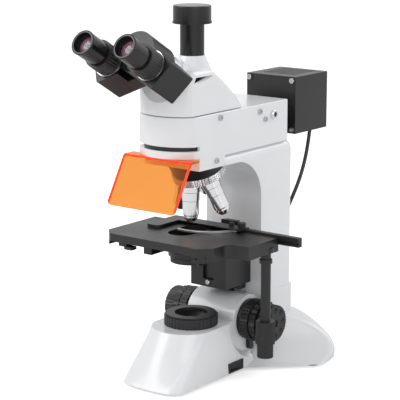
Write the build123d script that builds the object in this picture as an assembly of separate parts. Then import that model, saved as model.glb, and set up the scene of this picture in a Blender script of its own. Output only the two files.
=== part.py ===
from build123d import *
from math import atan2, cos, degrees, hypot, pi, radians, sin, sqrt, tan
import os

# Compound microscope with an incident-light fluorescence housing, in millimetres.
# The model is laid out about the optical axis: X to the user's right, Y to the back,
# Z up from the table. At the end every piece is moved so that the origin is the
# middle of the footprint of the whole instrument.

# Clearances
joint_gap = 0.3
running_gap = 0.05
slip_gap = 0.02

# Base casting
foot_height = 4.0
foot_radius = 9.0
front_foot_x = 32.0
front_foot_y = -64.0
rear_foot_x = 99.0
rear_foot_y = 130.0
base_half = 47.0
nose_front = -92.0
nose_side_front = -86.0
nose_corner = 18.0
deck_z = 68.0
deck_half = 42.0
deck_front = -54.0
deck_side_front = -22.0
deck_corner = 16.0
casting_wall = 5.0
base_back = 168.0
flare_start = 53.0
flare_half = 117.0
flare_top = 60.0
flare_edge_z = 14.0
flare_sweep = 54.0
flare_slope = 1.03
flare_corner = 12.0
flare_tail = 8.0
flare_taper = 6.0
riser_top = 94.0
riser_half = 46.0
riser_step = 2.0
dish_radius = 42.0
dish_slope = 0.9
bottom_sheet = 2.0

# Column and arm
column_half = 44.0
column_front = 90.0
column_back = 165.0
column_wall = 7.0
arm_under = 275.0
arm_top = 288.0
arm_front = 13.0
arm_tongue_half = 33.0
arm_tongue_front = -36.0
arch_radius = 52.0
column_corner = 14.0
crown_radius = 12.0

# Focus drive: a cylinder across the stand holds two coaxial shafts
focus_y = 71.0
focus_z = 65.0
housing_radius = 31.0
housing_half = 38.0
shaft_radius = 8.0
spindle_radius = 3.0
pinion_teeth = 12
tooth_module = 1.0
pinion_half = 9.0
ring_width = 5.5
ring_radius = 26.0
lever_width = 9.0
lever_reach = 14.5
coarse_radius = 27.3
coarse_rim = 11.5
coarse_groove = 2.0
coarse_grip = 8.4
fine_radius = 24.0
fine_width = 13.0
fine_gap = 2.0
fine_neck = 14.0
knob_dimples = 8
dimple_radius = 4.2
focus_down = 11.0

# Guide rail, rack and stage bracket
guide_root_half = 10.0
guide_half = 14.0
guide_depth = 8.0
guide_seat = 6.0
guide_top = 187.0
guide_bottom = 103.0
bracket_half = 28.0
bracket_front = 36.0
bracket_bottom = 108.0
bracket_top = 165.0
shelf_thick = 5.0
rack_half = 8.0
rack_bottom = 52.0
slide_half = 20.0
slide_bottom = 99.0
well_gap = 1.5

# Mechanical stage
stage_top = 190.0
stage_thick = 10.0
skirt_height = 17.0
skirt_wall = 6.0
stage_half = 83.0
stage_front = -76.4
stage_back = 31.0
stage_corner = 15.0
wing_half = 112.0
wing_front = -31.0
wing_root = -45.0
wing_wall = 6.0
lower_half = 68.0
lower_front = -60.0
lower_back = 45.0
lower_thick = 9.0
track_half = 4.0
track_x = 55.0
track_height = 1.5
stage_travel = 25.0
aperture_half = 17.0
aperture_front = -36.0
aperture_back = 26.0
tongue_low = 184.5
tongue_high = 187.5
tongue_depth = 2.0

# Stage drive: two coaxial knobs hang from the wing
drive_x = 104.0
drive_y = 16.3
y_knob_radius = 12.0
y_knob_top = 86.0
y_knob_bottom = 57.0
y_tube_radius = 6.2
tube_collar_low = 160.0
tube_collar_high = 165.0
x_knob_radius = 10.1
x_knob_bottom = 39.5
x_rod_radius = 2.5
x_wheel_radius = 7.0
x_wheel_height = 5.0
rack_thick = 6.0
rack_front = -12.0
rack_back = 43.0

# Specimen holder
rail_left = -46.0
rail_right = 142.0
rail_thick = 8.0
rail_low = 181.5
holder_z = 190.5
holder_thick = 2.4
strap_thick = 1.4
jaw_left = -55.0
jaw_right = -35.0
jaw_front = -22.0
jaw_step = 7.0
strap_front = 19.0
strap_right = 62.0
finger_pivot_x = 50.0
finger_pivot_y = 24.0
finger_width = 4.5
finger_pin = 1.5
finger_tip_x = -9.0
finger_tip_y = -13.0
finger_mid_x = 24.0
finger_mid_y = -8.0
small_screw_x = 39.0
large_screw_x = 55.0
holder_screw_y = 33.0

# Condenser
condenser_radius = 25.0
condenser_bottom = 150.0
iris_height = 7.0
condenser_ring_top = 168.0
condenser_top = 178.5
condenser_nose = 15.0
condenser_bore = 12.0
cradle_wall = 3.6
cradle_low = 158.0
cradle_thick = 6.0
cradle_half = 8.0
cradle_slot = 4.0
cradle_drop = 16.0
cradle_stop = 118.0
cradle_play = 3.0
iris_lever_angle = -35.0
iris_lever_reach = 16.0
condenser_knob_z = 140.0
condenser_knob_y = 50.0
condenser_knob_radius = 9.0
condenser_knob_width = 10.0
knob_pin_radius = 3.0

# Field lens in the base
field_ring_radius = 34.25
field_ring_height = 14.7
cell_radius = 20.5
cell_height = 11.0
cell_spigot = 16.5
cell_depth = 10.0
field_lens_radius = 9.5
lens_ledge = 1.5
led_block_half = 18.0
led_block_height = 20.0

# Incident-light housing
epi_half = 43.0
epi_top = 342.0
epi_back = 148.0
epi_front = -68.0
epi_front_arc = 55.0
epi_corner = 6.0
epi_wall = 5.0
band_low = 300.9
band_high = 306.1
cover_low = 291.5
cover_back = -38.0
turret_y = -25.5
turret_radius = 41.5
turret_thick = 4.6
filter_count = 4
filter_radius = 8.0
cube_half = 11.0
chamber_radius = 39.0
light_bore = 9.0
lamp_bore = 8.0
lamp_axis_z = 315.0

# Light shield
shield_half = 51.5
shield_tilt = 30.3
shield_length = 66.0
shield_thick = 3.0
shield_edge_y = -66.0
shield_wing_back = -49.0
shield_corner = 4.0

# Nosepiece
nose_tilt = 21.5
pitch_radius = 21.0
seat_plane_z = 246.0
turret_ring_radius = 34.0
turret_ring_height = 9.0
bowl_height = 30.0
bowl_flare = 6.0
bowl_lip = 1.5
nose_shaft_radius = 5.0
nose_shaft_length = 14.0
turret_tip_radius = 8.0
seat_sink = 1.0
thread_radius = 10.16
thread_depth = 5.0
turret_bore = 8.0
objective_places = 5
objective_seats = {"objective_4x": 4, "objective_10x": 0, "objective_40x": 1, "objective_100x": 2}
objective_reach = {"objective_4x": 44.0, "objective_10x": 45.0, "objective_40x": 46.0, "objective_100x": 46.0}
objective_width = {"objective_4x": 10.8, "objective_10x": 11.0, "objective_40x": 10.6, "objective_100x": 10.6}

# Viewing head
head_half = 40.0
head_front = -67.0
head_back = 56.0
head_seam = 1.0
head_knee = 359.0
head_crown = 397.0
head_slope_y = 19.0
head_slope_z = 380.0
head_crown_back = -8.0
head_round = 8.0
neck_low = 386.0
neck_top = 410.0
neck_radius = 26.0
dovetail_radius = 30.0
photo_y = 3.0
photo_radius = 15.0
photo_bore = 12.0
photo_top = 466.0
port_radius = 19.0
cap_radius = 23.5
cap_bottom = 449.0
cap_top = 471.0
cap_lip = 0.8

# Binocular arms
eye_tilt = 30.0
eye_y = -163.0
eye_z = 438.0
eye_half = 31.5
hinge_rise = 17.0
arm_length = 46.0
eyepiece_length = 56.0
arm_width = 39.0
arm_over = 21.7
knuckle_radius = 26.0
hub_radius = 23.0
hub_length = 20.0
hub_root = 24.0
hinge_pin_radius = 4.0
collar_radius = 19.0
collar_height = 3.0
diopter_radius = 18.2
diopter_height = 22.0
stub_radius = 14.0
barrel_radius = 11.6
barrel_depth = 12.0
eyepiece_radius = 15.3
eye_lens_radius = 10.5
eye_lens_depth = 7.0

# Lamp house
adapter_half = 28.0
adapter_low = 297.0
adapter_high = 319.0
lamp_half = 39.0
lamp_front = 172.0
lamp_back = 249.0
lamp_low = 292.0
lamp_high = 367.0
lamp_sheet = 2.5
vent_count = 7
vent_pitch = 8.0
vent_width = 3.0
vent_half = 26.0
fin_pitch = 9.0
fin_slot = 5.0

# Lamp lead
lead_radius = 2.5
plug_x = 10.0
plug_y = 180.0
plug_high = 136.0
plug_low = 118.0
plug_half = 8.0
relief_length = 8.0
lead_play = 0.8
lead_route = [
    (29, 222, lamp_low - lead_play),
    (29, 218, 272),
    (30, 209, 249),
    (30, 197.5, 227),
    (27, 187, 206),
    (20, 181.5, 185),
    (13, 180.4, 163),
    (plug_x, plug_y, plug_high + relief_length + lead_play),
]

# Switch, dimmer and inlet
switch_y = 33.0
switch_z = 11.5
switch_length = 31.0
switch_height = 13.0
switch_depth = 9.0
switch_rim = 2.0
switch_proud = 0.4
dimmer_y = 30.0
dimmer_z = 26.0
dimmer_radius = 11.0
dimmer_width = 9.0
inlet_x = -18.0
inlet_z = 28.0
inlet_width = 28.0
inlet_height = 22.0
inlet_depth = 18.0
inlet_wall = 2.5
inlet_flange = 2.0

# Screws
head_radius = 3.5
head_height = 2.6

pieces = {}


def block(x0, x1, y0, y1, z0, z1):
    """A box between two corners."""
    middle = ((x0 + x1) / 2, (y0 + y1) / 2, (z0 + z1) / 2)
    return Pos(*middle) * Box(x1 - x0, y1 - y0, z1 - z0)


def post(radius, z0, z1, x=0.0, y=0.0):
    """An upright cylinder."""
    return Pos(x, y, (z0 + z1) / 2) * Cylinder(radius, z1 - z0)


def axle(radius, x0, x1, y=focus_y, z=focus_z):
    """A cylinder along X."""
    return Pos((x0 + x1) / 2, y, z) * Rot(0, 90, 0) * Cylinder(radius, x1 - x0)


def rod(radius, y0, y1, x=0.0, z=0.0):
    """A cylinder along Y."""
    return Pos(x, (y0 + y1) / 2, z) * Rot(90, 0, 0) * Cylinder(radius, y1 - y0)


def knurl(radius, height, count, depth):
    """An upright grip with straight teeth round it, standing on the XY plane."""
    step = pi / count
    outline = []
    for i in range(2 * count):
        reach = radius - depth * (i % 2)
        outline.append((reach * cos(i * step), reach * sin(i * step)))
    return extrude(Polygon(*outline, align=None), height)


def along_x(shape, x, y, z):
    """Turns an upright shape so that it points along X from a place."""
    return Pos(x, y, z) * Rot(0, 90, 0) * shape


def rounded_plan(half, front, side_front, corner, back):
    """A plan with straight sides and a bowed front."""
    edge = Polyline((half, side_front), (half, back), (-half, back), (-half, side_front))
    bow = ThreePointArc((-half, side_front), (0, front), (half, side_front))
    face = make_face(edge + bow)
    tips = face.vertices().filter_by(lambda v: abs(v.Y - side_front) < 0.01)
    return fillet(tips, corner)


def lens(radius, low, edge_high, bulge):
    """A plano-convex lens standing on its flat side."""
    sphere = (radius**2 + bulge**2) / (2 * bulge)
    half_way = edge_high + bulge - sphere + sqrt(sphere**2 - radius**2 / 4)
    edge = Polyline((0, edge_high + bulge), (0, low), (radius, low), (radius, edge_high))
    dome = ThreePointArc((radius, edge_high), (radius / 2, half_way), (0, edge_high + bulge))
    return revolve(Plane.XZ * make_face(edge + dome), Axis.Z)


# Stand

def nose_body(inset):
    """The base in front of the focus drive, from its bowed foot up to the narrower deck."""
    half = base_half - inset
    corner = nose_corner - inset
    low = rounded_plan(half, nose_front + inset, nose_side_front + inset, corner, focus_y)
    top_half = deck_half - inset
    high = rounded_plan(top_half, deck_front + inset, deck_side_front, deck_corner, focus_y)
    low_z = foot_height - (1 if inset else 0)
    return loft([Pos(0, 0, low_z) * low, Pos(0, 0, deck_z - inset) * high])


def side_dish():
    """Hollow in the nose's side round the focus knobs, for the lever to swing in."""
    depth = base_half - housing_half + 5
    cone = Cone(dish_radius, dish_radius + depth * dish_slope, depth)
    return along_x(cone, housing_half + depth / 2, focus_y, focus_z)


def flare_section(inset, z, half, top_share):
    """The right half of the flare's plan at one height."""
    start_x = housing_half + (base_half - housing_half) * (1 - top_share) ** 3 - inset
    start_y = flare_start + flare_sweep * top_share**0.6 + inset
    wide = half - inset
    back = base_back - inset
    corner_y = start_y + (wide - start_x) * flare_slope
    tail = wide - flare_taper
    plan = Polygon((0, start_y), (start_x, start_y), (wide, corner_y), (tail, back), (0, back), align=None)
    corner = plan.vertices().filter_by(lambda v: abs(v.Y - corner_y) < 0.01)
    plan = fillet(corner, min(flare_corner - inset, 0.8 * (back - corner_y)))
    rear = plan.vertices().filter_by(lambda v: v.Y > back - 0.01 and v.X > 1)
    return Pos(0, 0, z) * fillet(rear, min(flare_tail - inset, 0.45 * (back - corner_y)))


def flare_body(inset):
    """The wide rear of the base, lofted through plans that shrink towards the column."""
    low = foot_height - (1 if inset else 0)
    top = flare_top - inset
    sections = [flare_section(inset, low, flare_half, 0)]
    for angle in (0, 20, 35, 50, 65, 80):
        climb = sin(radians(angle)) ** 1.3
        z = flare_edge_z + (top - flare_edge_z) * climb
        half = riser_half + (flare_half - riser_half) * cos(radians(angle)) ** 1.3
        sections.append(flare_section(inset, z, half, (z - foot_height) / (flare_top - foot_height)))
    side = loft(sections)
    return side + mirror(side, Plane.YZ)


def rack_line():
    """The depth at which rack and pinion meet."""
    return focus_y + pinion_teeth * tooth_module / 2


def riser():
    """The straight part behind the knobs on which the column stands."""
    front = column_front - riser_step
    body = block(-riser_half, riser_half, front, base_back - 1, foot_height, riser_top)
    body = fillet(body.edges().filter_by(Axis.Z).group_by(Axis.Y)[-1], column_corner)
    clear = coarse_radius + 1.2
    body -= axle(clear, housing_half, riser_half + 1)
    return body - axle(clear, -riser_half - 1, -housing_half)


def base_casting():
    dish = side_dish()
    body = nose_body(0) - dish - mirror(dish, Plane.YZ)
    body += flare_body(0)
    body += riser()
    body += block(-housing_half, housing_half, focus_y - 1, column_front, foot_height, focus_z)
    body += axle(housing_radius, -housing_half, housing_half)
    # Hollow underneath
    body -= block(-200, 200, -200, 200, 0, foot_height)
    inner_dish = Pos(-casting_wall, 0, 0) * dish
    body -= nose_body(casting_wall) - inner_dish - mirror(inner_dish, Plane.YZ)
    body -= flare_body(casting_wall)
    inner = housing_half - casting_wall
    body -= block(-inner, inner, focus_y + 20, base_back - 1 - casting_wall, 0, riser_top - casting_wall)
    body -= block(-inner, inner, focus_y - 20, focus_y + 21, 0, focus_z - housing_radius - 2)
    # Bore for the coarse shaft, and the well in which the slide and rack go down
    body -= axle(shaft_radius + running_gap, -base_half - 5, base_half + 5)
    body -= block(-pinion_half - 1, pinion_half + 1, focus_y - 9, rack_line(), focus_z - 9, focus_z + 9)
    rack_side = rack_half + well_gap
    body -= block(-rack_side, rack_side, rack_line() - well_gap, focus_y + 21, 20, riser_top + 20)
    slide_side = slide_half + well_gap
    slide_low = slide_bottom - focus_down - well_gap
    body -= block(-slide_side, slide_side, rack_line() - joint_gap, column_front + 1, slide_low, 110)
    # Seats for the lens cell, the switch, the dimmer and the mains inlet
    body -= post(cell_spigot, deck_z - 20, deck_z + 1)
    reach = switch_length / 2
    rise = switch_height / 2
    body -= block(30, 60, switch_y - reach, switch_y + reach, switch_z - rise, switch_z + rise)
    body -= axle(knob_pin_radius + running_gap, -60, -30, dimmer_y, dimmer_z)
    wide = inlet_width / 2
    tall = inlet_height / 2
    hole = block(inlet_x - wide, inlet_x + wide, base_back - 20, base_back + 1, inlet_z - tall, inlet_z + tall)
    return body - hole


def base_plate():
    """The sheet that closes the base, notched behind the switch."""
    inset = casting_wall + joint_gap
    body = nose_body(inset) + flare_body(inset)
    body &= block(-200, 200, -200, 200, foot_height, foot_height + bottom_sheet)
    reach = switch_length / 2 + joint_gap
    start = base_half - switch_depth - joint_gap
    return body - block(start, base_half, switch_y - reach, switch_y + reach, 0, foot_height + bottom_sheet + 1)


def rubber_feet():
    feet = []
    for x, y in ((front_foot_x, front_foot_y), (rear_foot_x, rear_foot_y)):
        for side in (-1, 1):
            foot = post(foot_radius, 0, foot_height, side * x, y)
            feet.append(chamfer(foot.edges().group_by(Axis.Z)[0], 1.2))
    return Compound(children=feet)


def column():
    knee_y = column_front - arch_radius
    knee_z = arm_under - arch_radius
    outline = Polyline(
        (column_front, knee_z),
        (column_front, riser_top),
        (column_back, riser_top),
        (column_back, arm_top),
        (arm_front, arm_top),
        (arm_front, arm_under),
        (knee_y, arm_under),
    )
    middle = arch_radius * sin(radians(45))
    arch = ThreePointArc((knee_y, arm_under), (knee_y + middle, knee_z + middle), (column_front, knee_z))
    body = extrude(Plane.YZ * make_face(outline + arch), column_half, both=True)
    body = fillet(body.edges().filter_by(Axis.Z).group_by(Axis.Y)[-1], column_corner)
    rear = column_back - column_corner - 1
    crown = body.edges().group_by(Axis.Z)[-1].filter_by(lambda e: e.center().Y > rear)
    body = fillet(crown, crown_radius)
    body += block(-arm_tongue_half, arm_tongue_half, arm_tongue_front, arm_front, arm_under, arm_top)
    body -= post(light_bore, arm_under - 1, arm_top + 1)
    # Relief for the tilted nosepiece
    top = ring_edge() - turret_ring_height - 1
    ring = Pos(0, 0, top + 20) * Cylinder(turret_ring_radius + 1, 40)
    body -= nose_plane.location * ring
    inner = column_half - column_wall
    hollow_front = column_front + guide_seat + column_wall
    body -= block(-inner, inner, hollow_front, column_back - column_wall, riser_top - 1, arm_under)
    # Channel for the guide rail
    seat = column_front + guide_seat
    side = guide_root_half
    return body - block(-side, side, column_front - 1, seat, guide_bottom, guide_top)


def guide_rail():
    seat = column_front + guide_seat
    root = guide_root_half - slip_gap
    front = column_front - guide_depth
    plan = Polygon(
        (-root, seat),
        (-root, column_front),
        (-guide_half, front),
        (guide_half, front),
        (root, column_front),
        (root, seat),
        align=None,
    )
    return Pos(0, 0, guide_bottom) * extrude(plan, guide_top - guide_bottom)


def epi_plan():
    side_y = epi_front + epi_front_arc - sqrt(epi_front_arc**2 - epi_half**2)
    return rounded_plan(epi_half, epi_front, side_y, epi_corner, epi_back)


def epi_housing():
    body = Pos(0, 0, arm_under) * extrude(epi_plan(), epi_top - arm_under)
    body = fillet(body.edges().group_by(Axis.Z)[-1], 1.5)
    body -= block(-60, 60, arm_front, epi_back + 1, arm_under - 1, arm_top)
    side = arm_tongue_half
    body -= block(-side, side, arm_tongue_front, arm_front + 1, arm_under - 1, arm_top)
    # Room for the front cover and the filter turret
    body -= block(-60, 60, epi_front - 1, cover_back, arm_under - 1, band_high)
    body -= post(turret_radius + joint_gap, band_low - joint_gap, band_high, 0, turret_y)
    body -= post(chamber_radius, band_high - 1, epi_top - epi_wall, 0, turret_y)
    inner = epi_half - epi_wall
    roof = epi_top - epi_wall
    body -= block(-inner, inner, 3 * epi_wall, epi_back - epi_wall, arm_top + epi_wall, roof)
    # Light paths, down to the objective and back to the lamp
    body -= post(light_bore, arm_under - 1, epi_top + 1)
    return body - rod(lamp_bore, 0, epi_back + 1, 0, lamp_axis_z)


def epi_front_cover():
    high = band_low - joint_gap
    body = Pos(0, 0, cover_low) * extrude(epi_plan(), high - cover_low)
    return body & block(-60, 60, epi_front - 1, cover_back, cover_low, high)


def light_shield():
    drop = radians(shield_tilt)
    middle_z = cover_low - shield_thick / 2
    slope = Plane(origin=(0, shield_edge_y, middle_z), x_dir=(1, 0, 0), z_dir=(0, -cos(drop), sin(drop)))
    sheet = Pos(0, -shield_length / 2, 0) * Box(2 * shield_half, shield_length, shield_thick)
    sheet = fillet(sheet.edges().filter_by(Axis.Z).group_by(Axis.Y)[0], shield_corner)
    bend = axle(shield_thick / 2, -shield_half, shield_half, shield_edge_y, middle_z)
    low = cover_low - shield_thick
    wing = block(-shield_half, shield_half, shield_edge_y, shield_wing_back, low, cover_low)
    return slope.location * sheet + bend + wing


def lamp_coupling():
    """The lamp house's front plate, in one with the block that joins it to the housing."""
    body = block(-lamp_half, lamp_half, lamp_front, lamp_front + lamp_sheet, lamp_low, lamp_high)
    body += block(-adapter_half, adapter_half, epi_back, lamp_front, adapter_low, adapter_high)
    body += rod(lamp_bore + 4, epi_back, lamp_front, 0, lamp_axis_z)
    return body - rod(lamp_bore, epi_back - 1, lamp_back, 0, lamp_axis_z)


def lamp_housing():
    front = lamp_front + lamp_sheet
    body = block(-lamp_half, lamp_half, front, lamp_back, lamp_low, lamp_high)
    body = fillet(body.edges().filter_by(Axis.Z).group_by(Axis.Y)[-1], 3)
    side = lamp_half - lamp_sheet
    floor = lamp_low + lamp_sheet
    body -= block(-side, side, lamp_front, lamp_back - lamp_sheet, floor, lamp_high - lamp_sheet)
    for i in range(vent_count):
        y = lamp_front + 18 + vent_pitch * i
        body -= block(-vent_half, vent_half, y, y + vent_width, lamp_high - lamp_sheet - 1, lamp_high + 1)
    return body


def lamp_module():
    """The lamp's finned heat sink and the barrel that points into the housing."""
    floor = lamp_low + lamp_sheet
    sink = block(-24, 24, lamp_front + 28, lamp_front + 58, floor, lamp_high - 12)
    for i in range(-2, 3):
        x = fin_pitch * i
        half = fin_slot / 2
        sink -= block(x - half, x + half, lamp_front + 34, lamp_back, floor - 1, lamp_high)
    return sink + rod(lamp_bore - 1, lamp_front + lamp_sheet + joint_gap, lamp_front + 29, 0, lamp_axis_z)


def power_inlet():
    wide = inlet_width / 2 - slip_gap
    tall = inlet_height / 2 - slip_gap
    face = base_back + inlet_flange
    deep = base_back - inlet_depth
    body = block(inlet_x - wide, inlet_x + wide, deep, face, inlet_z - tall, inlet_z + tall)
    wide += inlet_flange
    tall += inlet_flange
    body += block(inlet_x - wide, inlet_x + wide, base_back, face, inlet_z - tall, inlet_z + tall)
    wide = inlet_width / 2 - inlet_wall
    tall = inlet_height / 2 - inlet_wall
    body -= block(inlet_x - wide, inlet_x + wide, deep + inlet_wall, face + 1, inlet_z - tall, inlet_z + tall)
    for x, z in ((-6, -2), (0, 2), (6, -2)):
        body += Pos(inlet_x + x, 0, inlet_z + z) * block(-1, 1, deep, base_back - 2, -2, 2)
    return body


def switch_bezel():
    reach = switch_length / 2 - slip_gap
    rise = switch_height / 2 - slip_gap
    face = base_half + switch_proud
    deep = face - switch_depth
    body = block(deep, face, switch_y - reach, switch_y + reach, switch_z - rise, switch_z + rise)
    reach -= switch_rim
    rise -= switch_rim
    return body - block(deep + 1, face + 1, switch_y - reach, switch_y + reach, switch_z - rise, switch_z + rise)


def power_rocker():
    """The rocker, pressed in at its front end and standing out at its back end."""
    face = base_half + switch_proud
    reach = switch_length / 2 - switch_rim - 2 * joint_gap
    rise = switch_height / 2 - switch_rim - joint_gap
    plan = Polygon(
        (face - 4.8, switch_y - reach + 2),
        (face - 2.4, switch_y - reach),
        (face - 2.2, switch_y),
        (face + 0.4, switch_y + reach),
        (face - 4.8, switch_y + reach - 2),
        align=None,
    )
    return Pos(0, 0, switch_z - rise) * extrude(plan, 2 * rise)


def dimmer_knob():
    outer = -base_half - joint_gap - dimmer_width
    grip = along_x(knurl(dimmer_radius, dimmer_width, 24, 0.6), outer, dimmer_y, dimmer_z)
    return grip + axle(knob_pin_radius, outer + 1, -base_half + 12, dimmer_y, dimmer_z)


def field_lens_cell():
    high = deck_z + cell_height
    body = post(cell_radius, deck_z, high)
    body += post(cell_spigot - slip_gap, deck_z - cell_depth, deck_z)
    body -= post(field_lens_radius - lens_ledge, deck_z - cell_depth - 1, high + 1)
    body -= post(field_lens_radius + slip_gap, deck_z + 4, high + 1)
    return body - Pos(0, 0, high - 3) * Cone(field_lens_radius, cell_radius - 1.5, 6)


def field_lens():
    return lens(field_lens_radius, deck_z + 4, deck_z + 6.5, 2.0)


def field_ring():
    low = deck_z + joint_gap
    high = low + field_ring_height
    body = Pos(0, 0, low) * knurl(field_ring_radius, field_ring_height - 2, 40, 0.8)
    body += post(field_ring_radius - 2.2, low, high)
    return body - post(cell_radius + joint_gap, low - 1, high + 1)


def base_led():
    low = foot_height + bottom_sheet
    side = led_block_half
    body = block(-side, side, -side, side, low, low + led_block_height)
    for i in range(4):
        x = -12 + 8 * i
        body -= block(x - 2, x + 2, -side - 1, side + 1, low - 1, low + led_block_height - 6)
    return body + post(field_lens_radius, low + led_block_height - 1, deck_z - cell_depth - joint_gap)


# Focus drive

def knob_start():
    """Where the coarse knobs begin, beyond the ring on each side."""
    return housing_half + joint_gap + ring_width + joint_gap


def coarse_width():
    return coarse_rim + coarse_groove + coarse_grip


def fine_start():
    return knob_start() + coarse_width() + fine_gap


def coarse_shaft():
    end = knob_start() + coarse_width()
    body = axle(shaft_radius, -end, -pinion_half) + axle(shaft_radius, pinion_half, end)
    body += axle(pinion_teeth * tooth_module / 2 - joint_gap, -pinion_half, pinion_half)
    return body - axle(spindle_radius + running_gap, -end - 1, end + 1)


def coarse_knobs():
    rim = knurl(coarse_radius, coarse_rim, 40, 0.7)
    rim += post(coarse_radius - 2.5, coarse_rim, coarse_rim + coarse_groove)
    rim += Pos(0, 0, coarse_rim + coarse_groove) * knurl(coarse_radius - 0.6, coarse_grip, 24, 1.4)
    rim -= post(shaft_radius + slip_gap, -1, coarse_width() + 1)
    right = along_x(rim, knob_start(), focus_y, focus_z)
    return Compound(children=[right, mirror(right, Plane.YZ)])


def fine_knobs():
    """Both fine knobs on their spindle, with finger dimples in their outer faces."""
    wheel = knurl(fine_radius, fine_width, 36, 0.7)
    wheel += post(fine_neck, joint_gap - fine_gap, 0)
    for i in range(knob_dimples):
        angle = 2 * pi * i / knob_dimples
        reach = fine_radius - 7
        wheel -= Pos(reach * cos(angle), reach * sin(angle), fine_width + 1.5) * Sphere(dimple_radius)
    wheel -= post(5, fine_width - 1.2, fine_width + 1)
    right = along_x(wheel, fine_start(), focus_y, focus_z)
    end = fine_start() + 2
    return right + mirror(right, Plane.YZ) + axle(spindle_radius, -end, end)


def tension_ring():
    start = -housing_half - joint_gap - ring_width
    body = along_x(knurl(ring_radius, ring_width, 30, 1.2), start, focus_y, focus_z)
    return body - axle(shaft_radius + running_gap, start - 1, start + ring_width + 1)


def lock_lever():
    start = housing_half + joint_gap
    end = start + ring_width
    low = focus_z - ring_radius - lever_reach
    half = lever_width / 2
    tab = block(start, end, focus_y - half, focus_y + half, low, focus_z - 15)
    tab = fillet(tab.edges().filter_by(Axis.X).group_by(Axis.Z)[0], half - 0.5)
    body = axle(ring_radius, start, end) + tab
    return body - axle(shaft_radius + running_gap, start - 1, end + 1)


# Stage bracket and stage

def guide_groove(z0, z1):
    gap = joint_gap
    front = column_front - guide_depth
    plan = Polygon(
        (-guide_root_half - gap, column_front + 1),
        (-guide_root_half - gap, column_front),
        (-guide_half - gap, front - gap),
        (guide_half + gap, front - gap),
        (guide_root_half + gap, column_front),
        (guide_root_half + gap, column_front + 1),
        align=None,
    )
    return Pos(0, 0, z0) * extrude(plan, z1 - z0)


def lower_top():
    """Top of the stage's lower plate, just under the moving plate."""
    return stage_top - stage_thick - joint_gap


def condenser_room():
    """Radius left free round the condenser."""
    return condenser_radius + cradle_wall + cradle_play


def stage_bracket():
    back = column_front - joint_gap
    under_stage = lower_top() - lower_thick
    body = block(-bracket_half, bracket_half, bracket_front, back, bracket_bottom, bracket_top)
    body += block(-slide_half, slide_half, rack_line() + 1, back, slide_bottom, bracket_bottom + 1)
    body += block(-rack_half, rack_half, rack_line(), back, rack_bottom, bracket_bottom + 1)
    # A forked shelf carries the stage round the condenser
    reach = condenser_radius + 19
    shelf_low = bracket_top - shelf_thick
    shelf_back = column_front - guide_depth - 4
    shelf = block(-reach, reach, lower_front + 20, shelf_back, shelf_low, under_stage)
    shelf -= block(-condenser_room(), condenser_room(), lower_front, 0, shelf_low - 1, under_stage + 1)
    body += shelf
    body -= post(condenser_room(), shelf_low - 1, under_stage + 1)
    body -= guide_groove(rack_bottom - 1, bracket_top + 10)
    # Slot for the condenser's slide, and the bore of its knob
    slot = cradle_half + joint_gap
    body -= block(-slot, slot, 0, bracket_front + cradle_slot, cradle_stop, under_stage + 1)
    return body - axle(knob_pin_radius + running_gap, -60, -8, condenser_knob_y, condenser_knob_z)


def track_front():
    """Front of the tracks, which the plate's grooves still clear when it is at the back."""
    return stage_front + skirt_wall + stage_travel + 1


def stage_base():
    top = lower_top()
    low = top - lower_thick
    body = block(-lower_half, lower_half, lower_front, lower_back, low, top)
    body -= block(-lower_half + 12, lower_half - 12, lower_front - 1, lower_front + 14, low - 1, top - 4)
    body -= post(condenser_room(), low - 1, top + 1)
    for side in (-1, 1):
        x = side * track_x
        body += block(x - track_half, x + track_half, track_front(), lower_back, top, top + track_height)
        body += block(x - 6, x + 6, lower_front + 2, lower_front + 12, low - 4, low)
    # Arm with the rack that the depth drive runs on
    rack_high = stage_top - skirt_height - joint_gap
    reach = drive_x - y_tube_radius - joint_gap
    return body + block(lower_half - 8, reach, rack_front, rack_back, rack_high - rack_thick, rack_high)


def stage_outline():
    corner = stage_front + stage_corner
    edge = Polyline(
        (stage_half, wing_root),
        (stage_half, corner),
        (stage_half - stage_corner, stage_front),
        (-stage_half + stage_corner, stage_front),
        (-stage_half, corner),
        (-stage_half, stage_back),
        (wing_half, stage_back),
        (wing_half, wing_front),
    )
    bend = Spline(
        (wing_half, wing_front),
        (stage_half + 12, wing_front - 2.5),
        (stage_half, wing_root),
        tangents=((-1, 0), (0, -1)),
    )
    return make_face(edge + bend)


def stage_plate():
    low = stage_top - skirt_height
    under = stage_top - stage_thick
    body = Pos(0, 0, low) * extrude(stage_outline(), skirt_height)
    side = stage_half - skirt_wall
    # Channel over the lower plate, open in front, and the pocket under the wing
    body -= block(-side, side, stage_front - 1, stage_back + 1, low - 1, under)
    pocket = wing_front + wing_wall
    body -= block(side - 1, wing_half - wing_wall, pocket, stage_back + 1, low - 1, under)
    middle = (aperture_back + aperture_front) / 2
    slot = SlotCenterToCenter(aperture_back - aperture_front - 2 * aperture_half, 2 * aperture_half, rotation=90)
    body -= Pos(0, middle, under - 1) * extrude(slot, stage_thick + 2)
    for sign in (-1, 1):
        x = sign * track_x
        half = track_half + joint_gap
        high = under + track_height + joint_gap
        body -= block(x - half, x + half, stage_front + skirt_wall, stage_back + 1, under - 1, high)
    # Bearing for the drive tube and its rod, with room for the wheel above it
    body += post(y_tube_radius + 3.5, low + 1, under, drive_x, drive_y)
    body -= post(y_tube_radius + running_gap, low, under, drive_x, drive_y)
    body -= post(x_wheel_radius + joint_gap, under, under + x_wheel_height, drive_x, drive_y)
    # Tongue along the back edge that guides the rail
    return body + block(-stage_half + 4, wing_half - 4, stage_back, stage_back + tongue_depth, tongue_low, tongue_high)


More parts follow.
